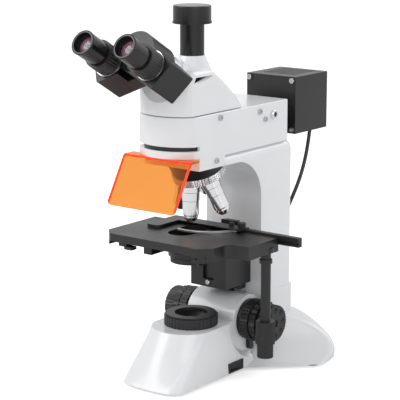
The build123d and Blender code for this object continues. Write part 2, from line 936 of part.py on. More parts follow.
def x_rail():
    front = stage_back + joint_gap
    body = block(rail_left, rail_right, front, front + rail_thick, rail_low, holder_z + holder_thick)
    groove = stage_back + tongue_depth + joint_gap
    body -= block(rail_left - 1, rail_right + 1, front - 1, groove, tongue_low - joint_gap, tongue_high + joint_gap)
    return chamfer(body.edges().filter_by(Axis.Z).group_by(Axis.X)[-1], 1)


def slide_holder():
    """Strap screwed on the rail, with the fixed jaw at its left end."""
    high = holder_z + holder_thick
    body = block(jaw_left, strap_right, strap_front, stage_back + rail_thick, high, high + strap_thick)
    jaw = block(jaw_left, jaw_right, jaw_front, stage_back, holder_z, high + strap_thick)
    jaw = chamfer(jaw.edges().filter_by(Axis.Z).group_by(Axis.Y)[0], 3)
    body += jaw
    body -= block(jaw_right - jaw_step, jaw_right + 1, jaw_front + 9, stage_back, holder_z - 1, holder_z + 1.3)
    body += post(3.2, high + 1, high + 6, small_screw_x, holder_screw_y)
    body += post(5.2, high + 1, high + 7.5, large_screw_x, holder_screw_y)
    return body + post(finger_pin, holder_z, high + 1, finger_pivot_x, finger_pivot_y)


def holder_finger():
    pivot = (finger_pivot_x, finger_pivot_y)
    arc = ThreePointArc(pivot, (finger_mid_x, finger_mid_y), (finger_tip_x, finger_tip_y))
    thick = holder_thick - joint_gap
    body = extrude(make_face(arc.offset_2d(finger_width / 2, Kind.ARC, Side.BOTH, closed=True)), thick)
    body += Pos(finger_pivot_x, finger_pivot_y, thick / 2) * Cylinder(4.2, thick)
    body -= Pos(finger_pivot_x, finger_pivot_y, 0) * Cylinder(finger_pin + running_gap, 10)
    return Pos(0, 0, holder_z) * body


def y_knob():
    """The upper knob on a tube whose top runs on the rack."""
    under = stage_top - stage_thick
    height = y_knob_top - y_knob_bottom
    body = Pos(drive_x, drive_y, y_knob_bottom) * knurl(y_knob_radius, height, 30, 0.6)
    body += post(y_tube_radius, y_knob_top - 1, under - joint_gap, drive_x, drive_y)
    body += post(y_tube_radius + 1.8, tube_collar_low, tube_collar_high, drive_x, drive_y)
    return body - post(x_rod_radius + running_gap, y_knob_bottom - 1, under + 1, drive_x, drive_y)


def x_knob():
    """The lower knob, its rod through the tube, and the wheel that pulls the rail."""
    under = stage_top - stage_thick
    high = y_knob_bottom - joint_gap
    body = Pos(drive_x, drive_y, x_knob_bottom) * knurl(x_knob_radius, high - x_knob_bottom, 26, 0.6)
    body += post(x_rod_radius, high - 1, under + 1, drive_x, drive_y)
    wheel_top = under + x_wheel_height - joint_gap
    return body + post(x_wheel_radius, under + joint_gap, wheel_top, drive_x, drive_y)


# Condenser

def condenser_cradle():
    high = cradle_low + cradle_thick
    back = bracket_front + cradle_slot - joint_gap
    body = post(condenser_radius + cradle_wall, cradle_low, high)
    body += block(-cradle_half, cradle_half, 0, back, cradle_low, high)
    body += block(-cradle_half, cradle_half, bracket_front, back, cradle_low - cradle_drop, high)
    return body - post(condenser_radius + slip_gap, cradle_low - 1, high + 1)


def condenser_body():
    low = condenser_bottom + iris_height
    body = post(condenser_radius, low, condenser_ring_top)
    body = chamfer(body.edges().group_by(Axis.Z)[-1], 1)
    body += post(condenser_nose, condenser_ring_top - 1, condenser_top)
    body += post(condenser_bore + 2, condenser_bottom, low)
    ledge = condenser_bore - lens_ledge
    body -= post(ledge, condenser_bottom - 1, condenser_top + 1)
    return body - post(condenser_bore, condenser_top - 7, condenser_top + 1)


def condenser_lens():
    low = condenser_top - 7
    return lens(condenser_bore - slip_gap, low, low + 3, 3.5)


def iris_ring():
    """The iris ring under the condenser, with its lever."""
    high = condenser_bottom + iris_height - joint_gap
    grip = Pos(0, 0, condenser_bottom) * knurl(condenser_radius + 1, high - condenser_bottom, 48, 0.5)
    grip -= post(condenser_bore + 2 + running_gap, condenser_bottom - 1, high + 1)
    tip = condenser_radius + iris_lever_reach
    middle = (condenser_bottom + high) / 2
    lever = axle(1.6, condenser_radius - 3, tip, 0, middle) + Pos(tip, 0, middle) * Sphere(3)
    return grip + Rot(0, 0, iris_lever_angle) * lever


def condenser_knob():
    outer = -bracket_half - joint_gap - condenser_knob_width
    grip = knurl(condenser_knob_radius, condenser_knob_width, 24, 0.6)
    grip = along_x(grip, outer, condenser_knob_y, condenser_knob_z)
    return grip + axle(knob_pin_radius, outer + 1, -10, condenser_knob_y, condenser_knob_z)


# Nosepiece

nose_plane = Plane(
    origin=(
        0,
        pitch_radius * cos(radians(nose_tilt)),
        seat_plane_z + pitch_radius * sin(radians(nose_tilt)),
    ),
    x_dir=(1, 0, 0),
    z_dir=(0, sin(radians(nose_tilt)), -cos(radians(nose_tilt))),
)


def seat_frame(place):
    """The frame of one objective seat: its Z runs down the objective."""
    angle = 360 / objective_places * place
    return nose_plane.location * Rot(0, 0, angle) * Pos(0, pitch_radius, 0) * Rot(-nose_tilt, 0, 0)


def ring_edge():
    """Where the knurled ring ends below, along the tilted axis from the seats' plane."""
    return -(turret_ring_radius - pitch_radius) * tan(radians(nose_tilt))


def nosepiece_base():
    """The bowl fixed under the arm, with the shaft that the turret turns on."""
    start = ring_edge() - turret_ring_height - joint_gap
    rim = turret_ring_radius - bowl_lip
    bowl = Pos(0, 0, start - bowl_height / 2) * Cone(rim + bowl_flare, rim, bowl_height)
    body = nose_plane.location * bowl & block(-60, 60, -90, 90, seat_plane_z, arm_under)
    shaft = Pos(0, 0, start - 1 + nose_shaft_length / 2) * Cylinder(nose_shaft_radius, nose_shaft_length)
    body += nose_plane.location * shaft
    return body - post(light_bore, seat_plane_z - 10, arm_under + 1)


def nosepiece_turret():
    tip = (pitch_radius - turret_tip_radius) * tan(radians(nose_tilt))
    edge = ring_edge()
    top = edge - turret_ring_height
    body = Pos(0, 0, top) * knurl(turret_ring_radius, turret_ring_height, 48, 1.0)
    body += Pos(0, 0, (edge + tip) / 2) * Cone(turret_ring_radius, turret_tip_radius, tip - edge)
    bore_end = top + nose_shaft_length - 1
    bore = Cylinder(nose_shaft_radius + running_gap, bore_end - top + 1)
    body -= Pos(0, 0, (top - 1 + bore_end) / 2) * bore
    body = nose_plane.location * body
    spot = objective_width["objective_10x"] + 2
    for place in range(objective_places):
        seat = seat_frame(place)
        body -= seat * Pos(0, 0, 2 - seat_sink) * Cylinder(spot, 4)
        body -= seat * Pos(0, 0, -seat_sink - thread_depth / 2) * Cylinder(thread_radius, thread_depth + 2)
        body -= seat * Pos(0, 0, -12) * Cylinder(turret_bore, 20)
    return body


def objective(name):
    reach = objective_reach[name]
    wide = objective_width[name]
    tip = wide * 0.4
    thread = thread_radius - slip_gap
    back = -seat_sink - thread_depth
    side = Polyline(
        (0, back),
        (thread, back),
        (thread, -seat_sink),
        (wide + 0.8, -seat_sink),
        (wide + 0.8, 7),
        (wide, 7.6),
        (wide, reach * 0.4),
        (wide - 0.6, reach * 0.4 + 0.6),
        (wide - 0.6, reach - 9),
        (wide - 1.8, reach - 7.8),
        (wide - 1.8, reach - 5.5),
        (tip + 1.5, reach - 1),
        (tip, reach),
        (0, reach),
        close=True,
    )
    body = revolve(Plane.XZ * make_face(side), Axis.Z)
    body -= Pos(0, 0, reach) * Cylinder(tip - 1.5, 1.6)
    body -= Pos(0, 0, back) * Cylinder(thread_radius - 3, 12)
    return seat_frame(objective_seats[name]) * body


# Filter turret

def filter_turret():
    body = post(turret_radius, band_low, band_low + turret_thick, 0, turret_y)
    for i in range(filter_count):
        angle = 2 * pi * i / filter_count
        x = turret_y * sin(angle)
        y = turret_y - turret_y * cos(angle)
        body -= post(filter_radius, band_low - 1, band_low + turret_thick + 1, x, y)
    return body


def filter_cubes():
    """One cube over each window, open below, above and to the outside."""
    cubes = []
    low = band_low + turret_thick
    for i in range(filter_count):
        cube = Pos(0, 0, low + cube_half) * Box(2 * cube_half, 2 * cube_half, 2 * cube_half)
        cube -= post(filter_radius, low - 1, low + 2 * cube_half + 1)
        cube -= rod(filter_radius, 0, cube_half + 1, 0, lamp_axis_z)
        turn = Rot(0, 0, 360 / filter_count * i)
        cubes.append(Pos(0, turret_y, 0) * turn * Pos(0, -turret_y, 0) * cube)
    return Compound(children=cubes)


# Viewing head

hub_dir = Vector(0, -cos(radians(eye_tilt)), sin(radians(eye_tilt)))
rise_dir = Vector(0, sin(radians(eye_tilt)), cos(radians(eye_tilt)))
hinge_back = Vector(0, eye_y, eye_z) + rise_dir * hinge_rise - hub_dir * (eyepiece_length + arm_length)
arm_plane = Plane(origin=hinge_back, x_dir=(1, 0, 0), z_dir=hub_dir)
hub_frame = Plane(origin=hinge_back - hub_dir * hub_length, x_dir=(1, 0, 0), z_dir=hub_dir).location


def head_wedge():
    """The head's side view, extruded and rounded along both sides."""
    low = epi_top + head_seam
    slope = tan(radians(90 - eye_tilt))
    crown_y = head_front + (head_crown - head_knee) / slope
    side = Polyline(
        (head_back + 1, low),
        (head_front - 1, low),
        (head_front - 1, head_knee - slope),
        (crown_y, head_crown),
        (head_crown_back, head_crown),
    )
    rear = ThreePointArc((head_crown_back, head_crown), (head_slope_y, head_slope_z), (head_back + 1, low))
    profile = make_face(side + rear)
    profile = fillet(profile.vertices().filter_by(lambda v: abs(v.Y - head_crown) < 0.01), head_round)
    wedge = extrude(Plane.YZ * profile, head_half, both=True)
    rim = wedge.edges().filter_by(lambda e: abs(abs(e.center().X) - head_half) < 0.01)
    rim = rim.filter_by(lambda e: e.center().Z > low + 1 and e.center().Y > head_front - 0.5)
    return fillet(rim, head_round)


def head_casting():
    low = epi_top + head_seam
    side_y = head_front + epi_front_arc - sqrt(epi_front_arc**2 - head_half**2)
    plan = rounded_plan(head_half, head_front, side_y, epi_corner, head_back)
    body = Pos(0, 0, low) * extrude(plan, head_crown - low)
    body &= head_wedge()
    neck = Cone(neck_radius, photo_radius + 1, neck_top - neck_low)
    body += Pos(0, photo_y, (neck_top + neck_low) / 2) * neck
    boss = hub_frame * Pos(0, 0, -hub_root) * Cylinder(hub_radius + 2, 2 * hub_root)
    body += boss & block(-60, 60, -90, photo_y, low + 10, neck_top + 10)
    body += post(dovetail_radius, epi_top, low)
    return body - post(light_bore, epi_top - 1, neck_top + 1, 0, photo_y / 2)


def photo_tube():
    body = post(photo_radius, neck_top, cap_bottom + 4, 0, photo_y)
    body += post(port_radius, cap_bottom + 4, photo_top, 0, photo_y)
    return body - post(photo_bore, neck_top - 1, photo_top + 1, 0, photo_y)


def photo_cap():
    body = post(cap_radius, cap_bottom, cap_top, 0, photo_y)
    body = fillet(body.edges().group_by(Axis.Z)[-1], 1.5)
    body += post(cap_radius + cap_lip, cap_bottom, cap_bottom + 2.5, 0, photo_y)
    return body - post(port_radius + joint_gap, cap_bottom - 1, photo_top + joint_gap, 0, photo_y)


def hinge_hub():
    body = hub_frame * Pos(0, 0, hub_length / 2) * Cylinder(hub_radius, hub_length)
    pin = Pos(0, 0, arm_length / 2) * Cylinder(hinge_pin_radius, arm_length + 1)
    return body + arm_plane.location * pin


def swing_reach():
    """Distance from the hinge to each eyepiece."""
    return hypot(eye_half, hinge_rise)


def stub_height():
    """How far the arm's tube stands out through the diopter ring."""
    return collar_height + diopter_height + 2 * joint_gap


def binocular_arm(side):
    """One swinging arm, right for side 1 and left for side -1."""
    droop = degrees(atan2(hinge_rise, eye_half))
    half = arm_width / 2
    middle = arm_length / 2
    low, high = (middle + joint_gap / 2, arm_length) if side > 0 else (joint_gap, middle - joint_gap / 2)
    start = knuckle_radius + 1.5
    body = block(start, swing_reach() + arm_over, -half, half, joint_gap, arm_length)
    body = fillet(body.edges().filter_by(Axis.Z).group_by(Axis.X)[-1], 2.5)
    body += block(0, start + 1, -half, half, low, high) + post(knuckle_radius, low, high)
    body += post(collar_radius, arm_length, arm_length + collar_height, swing_reach(), 0)
    stub_top = arm_length + stub_height()
    body += post(stub_radius, arm_length, stub_top, swing_reach(), 0)
    body -= post(barrel_radius + slip_gap, arm_length - 8, stub_top + 1, swing_reach(), 0)
    body -= post(hinge_pin_radius + running_gap, -1, arm_length + 1)
    body = Rot(0, 0, -droop) * body
    if side < 0:
        body = mirror(body, Plane.YZ)
    return arm_plane.location * body


def eyepiece_frame(side):
    return arm_plane.location * Pos(side * eye_half, -hinge_rise, arm_length)


def diopter_ring(side):
    low = collar_height + joint_gap
    body = Pos(0, 0, low) * knurl(diopter_radius, diopter_height, 36, 0.5)
    return eyepiece_frame(side) * (body - post(stub_radius + running_gap, low - 1, low + diopter_height + 1))


def eyepiece(side):
    seat = stub_height()
    body = post(eyepiece_radius, seat, eyepiece_length)
    body = fillet(body.edges().group_by(Axis.Z)[-1], 1.2)
    body += post(barrel_radius, seat - barrel_depth, seat)
    cup = Cone(eye_lens_radius, eye_lens_radius + 2.4, eye_lens_depth)
    body -= Pos(0, 0, eyepiece_length - eye_lens_depth / 2) * cup
    body -= post(eye_lens_radius, eyepiece_length - eye_lens_depth - 5, eyepiece_length - 1)
    body -= post(barrel_radius - 2, seat - barrel_depth - 1, eyepiece_length - 15)
    return eyepiece_frame(side) * body


def eye_lens(side):
    low = eyepiece_length - eye_lens_depth - 5
    return eyepiece_frame(side) * lens(eye_lens_radius - slip_gap, low, low + 2.5, 2.5)


# Lamp lead

def turn_radius(a, b, c):
    """The largest arc that two runs allow at their corner."""
    first = Vector(*b) - Vector(*a)
    second = Vector(*c) - Vector(*b)
    turn = radians(first.get_angle(second))
    return 0.45 * min(first.length, second.length) / tan(turn / 2)


def lamp_lead():
    radii = []
    for i in range(len(lead_route) - 2):
        radii.append(turn_radius(*lead_route[i : i + 3]))
    path = FilletPolyline(*lead_route, radius=radii)
    start = Plane(origin=lead_route[0], z_dir=path % 0)
    body = sweep(start * Circle(lead_radius), path=path)
    print("lead radii", [round(r, 1) for r in radii], "length", round(path.length, 1))
    print("lead volume over section times length", round(body.volume / (pi * lead_radius**2 * path.length), 5))
    return body


def lead_plug():
    """The lead's plug in the back of the column, with its strain relief on top."""
    x0 = plug_x - plug_half
    body = block(x0, plug_x + plug_half, column_back, plug_y + plug_half, plug_low, plug_high)
    body = fillet(body.edges().filter_by(Axis.Z).group_by(Axis.Y)[-1], 4)
    relief = Cone(lead_radius + 3, lead_radius + 1, relief_length)
    return body + Pos(plug_x, plug_y, plug_high + relief_length / 2) * relief


def cap_screw():
    """A socket screw head, standing on the XY plane."""
    return post(head_radius, 0, head_height) - post(head_radius / 2, 1, head_height + 1)


def machine_screws():
    places = []
    for x, y in ((20, -60), (70, 140)):
        for side in (-1, 1):
            places.append(Pos(side * x, y, foot_height) * Rot(180, 0, 0))
    inset = 5
    for x in (-lamp_half + inset, lamp_half - inset):
        for z in (lamp_low + inset, lamp_high - inset):
            places.append(Pos(x, lamp_front, z) * Rot(90, 0, 0))
    wing_y = (shield_edge_y + shield_wing_back) / 2
    for side in (-1, 1):
        for y, z in ((86, 333), (98, 322), (-4.5, 283.7)):
            places.append(Pos(side * epi_half, y, z) * Rot(0, side * 90, 0))
        places.append(Pos(side * 20, wing_y, cover_low - shield_thick) * Rot(180, 0, 0))
    places.append(Pos(epi_half, 3, epi_top - 6) * Rot(0, 90, 0))
    return Compound(children=[place * cap_screw() for place in places])


def build():
    pieces["base_casting"] = base_casting()
    pieces["base_plate"] = base_plate()
    pieces["rubber_feet"] = rubber_feet()
    pieces["column"] = column()
    pieces["guide_rail"] = guide_rail()
    pieces["epi_housing"] = epi_housing()
    pieces["epi_front_cover"] = epi_front_cover()
    pieces["light_shield"] = light_shield()
    pieces["lamp_coupling"] = lamp_coupling()
    pieces["lamp_housing"] = lamp_housing()
    pieces["lamp_module"] = lamp_module()
    pieces["power_inlet"] = power_inlet()
    pieces["switch_bezel"] = switch_bezel()
    pieces["power_rocker"] = power_rocker()
    pieces["dimmer_knob"] = dimmer_knob()
    pieces["field_lens_cell"] = field_lens_cell()
    pieces["field_lens"] = field_lens()
    pieces["field_ring"] = field_ring()
    pieces["base_led"] = base_led()
    pieces["coarse_shaft"] = coarse_shaft()
    pieces["coarse_knobs"] = coarse_knobs()
    pieces["fine_knobs"] = fine_knobs()
    pieces["tension_ring"] = tension_ring()
    pieces["lock_lever"] = lock_lever()
    pieces["stage_bracket"] = stage_bracket()
    pieces["stage_base"] = stage_base()
    pieces["stage_plate"] = stage_plate()
    pieces["x_rail"] = x_rail()
    pieces["slide_holder"] = slide_holder()
    pieces["holder_finger"] = holder_finger()
    pieces["y_knob"] = y_knob()
    pieces["x_knob"] = x_knob()
    pieces["condenser_cradle"] = condenser_cradle()
    pieces["condenser_body"] = condenser_body()
    pieces["condenser_lens"] = condenser_lens()
    pieces["iris_ring"] = iris_ring()
    pieces["condenser_knob"] = condenser_knob()
    pieces["nosepiece_base"] = nosepiece_base()
    pieces["nosepiece_turret"] = nosepiece_turret()
    for name in objective_seats:
        pieces[name] = objective(name)
    pieces["filter_turret"] = filter_turret()
    pieces["filter_cubes"] = filter_cubes()
    pieces["head_casting"] = head_casting()
    pieces["photo_tube"] = photo_tube()
    pieces["photo_cap"] = photo_cap()
    pieces["hinge_hub"] = hinge_hub()
    for word, side in (("left", -1), ("right", 1)):
        pieces[word + "_arm"] = binocular_arm(side)
        pieces[word + "_diopter_ring"] = diopter_ring(side)
        pieces[word + "_eyepiece"] = eyepiece(side)
        pieces[word + "_eye_lens"] = eye_lens(side)
    pieces["lamp_lead"] = lamp_lead()
    pieces["lead_plug"] = lead_plug()
    pieces["machine_screws"] = machine_screws()


build()
os.makedirs("parts", exist_ok=True)
whole = Compound(list(pieces.values()))
box = whole.bounding_box()
to_origin = Pos(-(box.min.X + box.max.X) / 2, -(box.min.Y + box.max.Y) / 2, 0)
print("size", [round(v, 2) for v in (box.size.X, box.size.Y, box.size.Z)])
print("shift", [round(v, 4) for v in to_origin.position])
for name, shape in pieces.items():
    export_step(to_origin * shape, "parts/" + name + ".step")
print(len(pieces), "nodes")
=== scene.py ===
import bmesh
import bpy
from math import cos, pi, radians, sin
from mathutils import Matrix, Vector


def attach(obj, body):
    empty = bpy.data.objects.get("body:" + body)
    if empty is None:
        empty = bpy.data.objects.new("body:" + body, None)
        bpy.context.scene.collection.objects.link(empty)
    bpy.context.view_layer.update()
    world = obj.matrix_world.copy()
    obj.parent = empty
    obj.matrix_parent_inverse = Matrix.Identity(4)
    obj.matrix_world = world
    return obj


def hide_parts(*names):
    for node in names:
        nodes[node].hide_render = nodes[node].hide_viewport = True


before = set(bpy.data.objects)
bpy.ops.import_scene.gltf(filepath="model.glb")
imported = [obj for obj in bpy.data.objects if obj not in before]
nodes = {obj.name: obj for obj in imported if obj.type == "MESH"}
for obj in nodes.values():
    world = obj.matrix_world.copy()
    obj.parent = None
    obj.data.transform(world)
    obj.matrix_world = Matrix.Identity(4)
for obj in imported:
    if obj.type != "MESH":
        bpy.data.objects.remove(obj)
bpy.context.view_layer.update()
print("frame loaded:", len(nodes), "nodes")

# Lengths in this file are millimetres about the optical axis, as the microscope is laid out:
# X to the user's right, Y to the back, Z up from the table. toRow brings them to the row frame.
shift = (-12.8485, -39.3946, 0.0)
toRow = Matrix.Scale(0.001, 4) @ Matrix.Translation(shift)


def rowPoint(x, y, z):
    return toRow @ Vector((x, y, z))


# Camera
cameraSet = {
    "azimuth": 37.6,
    "down": 12.2,
    "distance": 2.0,
    "lens": 144.0,
    "target": (9, 7, 228),
}


def addCamera():
    around = radians(cameraSet["azimuth"])
    down = radians(cameraSet["down"])
    forward = Vector((-sin(around) * cos(down), cos(around) * cos(down), -sin(down)))
    camera = bpy.data.objects.new("camera", bpy.data.cameras.new("camera"))
    camera.data.lens = cameraSet["lens"]
    camera.data.sensor_width = 36
    camera.data.clip_end = 20
    camera.location = rowPoint(*cameraSet["target"]) - forward * cameraSet["distance"]
    camera.rotation_euler = forward.to_track_quat("-Z", "Y").to_euler()
    bpy.context.scene.collection.objects.link(camera)
    bpy.context.scene.camera = camera


addCamera()
print("camera placed")


# An empty shader group with its sockets, and its two end nodes
def newGroup(name, inputs, outputs):
    group = bpy.data.node_groups.new(name, "ShaderNodeTree")
    for label, kind, value in inputs:
        socket = group.interface.new_socket(label, in_out="INPUT", socket_type=kind)
        if value is not None:
            socket.default_value = value
    for label, kind in outputs:
        group.interface.new_socket(label, in_out="OUTPUT", socket_type=kind)
    return group, group.nodes.new("NodeGroupInput"), group.nodes.new("NodeGroupOutput")


# Cloudy colour, fine grain and dust, the same for paint, plastic and metal
def makeFinishGroup():
    inputs = [("Colour", "NodeSocketColor", (0.8, 0.8, 0.8, 1)), ("Spread", "NodeSocketFloat", 0.04),
              ("Roughness", "NodeSocketFloat", 0.4), ("Rough Spread", "NodeSocketFloat", 0.08),
              ("Patch Scale", "NodeSocketFloat", 25.0), ("Grain Scale", "NodeSocketFloat", 900.0),
              ("Dust", "NodeSocketFloat", 0.05)]
    outputs = [("Colour", "NodeSocketColor"), ("Roughness", "NodeSocketFloat"), ("Height", "NodeSocketFloat")]
    group, start, end = newGroup("surfaceFinish", inputs, outputs)
    make, link = group.nodes.new, group.links.new
    place = make("ShaderNodeTexCoord")
    patch = make("ShaderNodeTexNoise")
    patch.inputs["Detail"].default_value = 4
    grain = make("ShaderNodeTexNoise")
    grain.inputs["Detail"].default_value = 3
    link(place.outputs["Object"], patch.inputs["Vector"])
    link(place.outputs["Object"], grain.inputs["Vector"])
    link(start.outputs["Patch Scale"], patch.inputs["Scale"])
    link(start.outputs["Grain Scale"], grain.inputs["Scale"])

    def maths(kind, a, b):
        node = make("ShaderNodeMath")
        node.operation = kind
        for socket, value in zip(node.inputs, (a, b)):
            if isinstance(value, (int, float)):
                socket.default_value = value
            else:
                link(value, socket)
        return node.outputs[0]

    # Brighter and darker patches about the plain colour
    swing = maths("MULTIPLY", maths("SUBTRACT", patch.outputs["Fac"], 0.5), start.outputs["Spread"])
    level = maths("ADD", maths("MULTIPLY", swing, 4.0), 1.0)
    scaled = make("ShaderNodeVectorMath")
    scaled.operation = "SCALE"
    link(start.outputs["Colour"], scaled.inputs[0])
    link(level, scaled.inputs["Scale"])
    # Dust lies on what faces up
    shape = make("ShaderNodeNewGeometry")
    up = make("ShaderNodeSeparateXYZ")
    link(shape.outputs["Normal"], up.inputs[0])
    lying = maths("MAXIMUM", up.outputs["Z"], 0.0)
    settled = maths("MULTIPLY", lying, start.outputs["Dust"])
    dust = maths("MULTIPLY", settled, maths("ADD", patch.outputs["Fac"], 0.2))
    mix = make("ShaderNodeMix")
    mix.data_type = "RGBA"
    link(dust, mix.inputs["Factor"])
    link(scaled.outputs[0], mix.inputs["A"])
    mix.inputs["B"].default_value = (0.5, 0.48, 0.45, 1)
    link(mix.outputs["Result"], end.inputs["Colour"])
    rough = maths("MULTIPLY", maths("SUBTRACT", patch.outputs["Fac"], 0.5), start.outputs["Rough Spread"])
    link(maths("ADD", maths("ADD", rough, start.outputs["Roughness"]), dust), end.inputs["Roughness"])
    link(grain.outputs["Fac"], end.inputs["Height"])
    return group


finishGroup = makeFinishGroup()

finishes = {
    "whiteEnamel": {"colour": (0.80, 0.81, 0.83), "spread": 0.012, "roughness": 0.3, "roughSpread": 0.1,
                    "grain": 1400, "bump": 0.02, "coat": 0.5},
    "blackEnamel": {"colour": (0.008, 0.008, 0.0085), "spread": 0.1, "roughness": 0.4, "roughSpread": 0.15,
                    "grain": 2200, "bump": 0.1, "dust": 0.004},
    "blackPlastic": {"colour": (0.008, 0.008, 0.0085), "spread": 0.1, "roughness": 0.45, "roughSpread": 0.15,
                     "grain": 1800, "bump": 0.15, "dust": 0.004},
    "glossPlastic": {"colour": (0.006, 0.006, 0.0065), "spread": 0.1, "roughness": 0.25, "roughSpread": 0.1,
                     "grain": 1200, "bump": 0.03, "dust": 0.003},
    "rubber": {"colour": (0.02, 0.02, 0.02), "spread": 0.15, "roughness": 0.75, "roughSpread": 0.1,
               "grain": 900, "bump": 0.3, "dust": 0.05},
    "chrome": {"colour": (0.74, 0.74, 0.76), "spread": 0.03, "roughness": 0.14, "roughSpread": 0.1,
               "grain": 700, "bump": 0.01, "metallic": 1},
    "turnedSteel": {"colour": (0.55, 0.55, 0.57), "spread": 0.06, "roughness": 0.3, "roughSpread": 0.15,
                    "grain": 1500, "bump": 0.08, "metallic": 1},
    "aluminium": {"colour": (0.62, 0.63, 0.65), "spread": 0.06, "roughness": 0.38, "roughSpread": 0.15,
                  "grain": 1600, "bump": 0.1, "metallic": 1},
    "redLine": {"colour": (0.55, 0.015, 0.02), "spread": 0.05, "roughness": 0.35, "roughSpread": 0.05,
                "grain": 1500, "bump": 0.02},
    "whiteMark": {"colour": (0.75, 0.75, 0.74), "spread": 0.05, "roughness": 0.5, "roughSpread": 0.05,
                  "grain": 1500, "bump": 0.02},
    "leadSheath": {"colour": (0.012, 0.012, 0.013), "spread": 0.1, "roughness": 0.4, "roughSpread": 0.1,
                   "grain": 1100, "bump": 0.1},
}
bumpDepth = 0.0004
coatRoughness = 0.12
materials = {}


def makeMaterial(name, colour, spread, roughness, roughSpread, grain, bump,
                 coat=0.0, metallic=0.0, dust=0.012):
    mat = bpy.data.materials.new(name)
    mat.use_nodes = True
    tree = mat.node_tree
    shader = tree.nodes["Principled BSDF"]
    finish = tree.nodes.new("ShaderNodeGroup")
    finish.node_tree = finishGroup
    for label, value in (("Colour", (*colour, 1)), ("Spread", spread), ("Roughness", roughness),
                         ("Rough Spread", roughSpread), ("Grain Scale", grain), ("Dust", dust)):
        finish.inputs[label].default_value = value
    relief = tree.nodes.new("ShaderNodeBump")
    relief.inputs["Strength"].default_value = bump
    relief.inputs["Distance"].default_value = bumpDepth
    tree.links.new(finish.outputs["Colour"], shader.inputs["Base Color"])
    tree.links.new(finish.outputs["Roughness"], shader.inputs["Roughness"])
    tree.links.new(finish.outputs["Height"], relief.inputs["Height"])
    tree.links.new(relief.outputs["Normal"], shader.inputs["Normal"])
    shader.inputs["Metallic"].default_value = metallic
    shader.inputs["Coat Weight"].default_value = coat
    shader.inputs["Coat Roughness"].default_value = coatRoughness
    mat.diffuse_color = (*colour, 1)
    return mat


for name, settings in finishes.items():
    materials[name] = makeMaterial(name, **settings)


# In each entry, rim is the colour of the painted sheen and glow, and the strength beside it sets how bright
# the painted glow is
clearFinishes = {
    "lensGlass": {"colour": (0.75, 0.62, 0.72), "roughness": 0.02, "ior": 1.5, "rim": (0.5, 0.1, 0.25),
                  "paintedGlowStrength": 0.03, "clearness": 0.75},
    "orangeSheet": {"colour": (1.0, 0.46, 0.09), "roughness": 0.03, "ior": 1.12, "rim": (1.0, 0.12, 0.01),
                    "paintedGlowStrength": 0.03, "clearness": 0.96},
    # The edge strips' material: a painted highlight that glows orange on the sheet's rims and bend
    "orangeEdgeHighlight": {"colour": (0.9, 0.05, 0.004), "roughness": 0.2, "ior": 1.3, "rim": (1.0, 0.06, 0.01),
                   "paintedGlowStrength": 0.5, "clearness": 0.2},
}


# Clear glass or acrylic with painted light: grazing views turn to the rim colour, a painted sheen, and the
# whole surface glows faintly in it, a painted glow
def makeClear(name, colour, roughness, ior, rim, paintedGlowStrength, clearness):
    mat = bpy.data.materials.new(name)
    mat.use_nodes = True
    tree = mat.node_tree
    shader = tree.nodes["Principled BSDF"]
    # Painted sheen: towards grazing views the base colour turns to the rim colour
    paintedSheenFacing = tree.nodes.new("ShaderNodeLayerWeight")
    paintedSheenFacing.inputs["Blend"].default_value = 0.35
    mix = tree.nodes.new("ShaderNodeMix")
    mix.data_type = "RGBA"
    mix.inputs["A"].default_value = (*colour, 1)
    mix.inputs["B"].default_value = (*rim, 1)
    tree.links.new(paintedSheenFacing.outputs["Facing"], mix.inputs["Factor"])
    tree.links.new(mix.outputs["Result"], shader.inputs["Base Color"])
    shader.inputs["Roughness"].default_value = roughness
    shader.inputs["IOR"].default_value = ior
    shader.inputs["Transmission Weight"].default_value = clearness
    # Painted glow: the surface gives off the rim colour, though it is no lamp
    shader.inputs["Emission Color"].default_value = (*rim, 1)
    shader.inputs["Emission Strength"].default_value = paintedGlowStrength
    mat.diffuse_color = (*colour, 0.5)
    return mat


for name, settings in clearFinishes.items():
    materials[name] = makeClear(name, **settings)
print("materials made:", len(materials))

# Which CAD nodes have which finish
nodeFinish = {
    "whiteEnamel": "base_casting column epi_housing head_casting hinge_hub epi_front_cover",
    "blackEnamel": "base_plate lamp_coupling lamp_housing field_lens_cell stage_bracket stage_base "
                   "stage_plate x_rail slide_holder condenser_cradle condenser_body nosepiece_base "
                   "filter_turret filter_cubes guide_rail left_arm right_arm",
    "blackPlastic": "power_inlet switch_bezel dimmer_knob field_ring coarse_knobs fine_knobs "
                    "tension_ring lock_lever y_knob x_knob iris_ring condenser_knob lead_plug "
                    "left_diopter_ring right_diopter_ring",
    "glossPlastic": "power_rocker photo_cap photo_tube left_eyepiece right_eyepiece",
    "rubber": "rubber_feet",
    "chrome": "nosepiece_turret objective_4x objective_10x objective_40x objective_100x",
    "turnedSteel": "coarse_shaft machine_screws holder_finger",
    "aluminium": "lamp_module base_led",
    "lensGlass": "field_lens condenser_lens left_eye_lens right_eye_lens",
    "orangeSheet": "light_shield",
    "leadSheath": "lamp_lead",
}


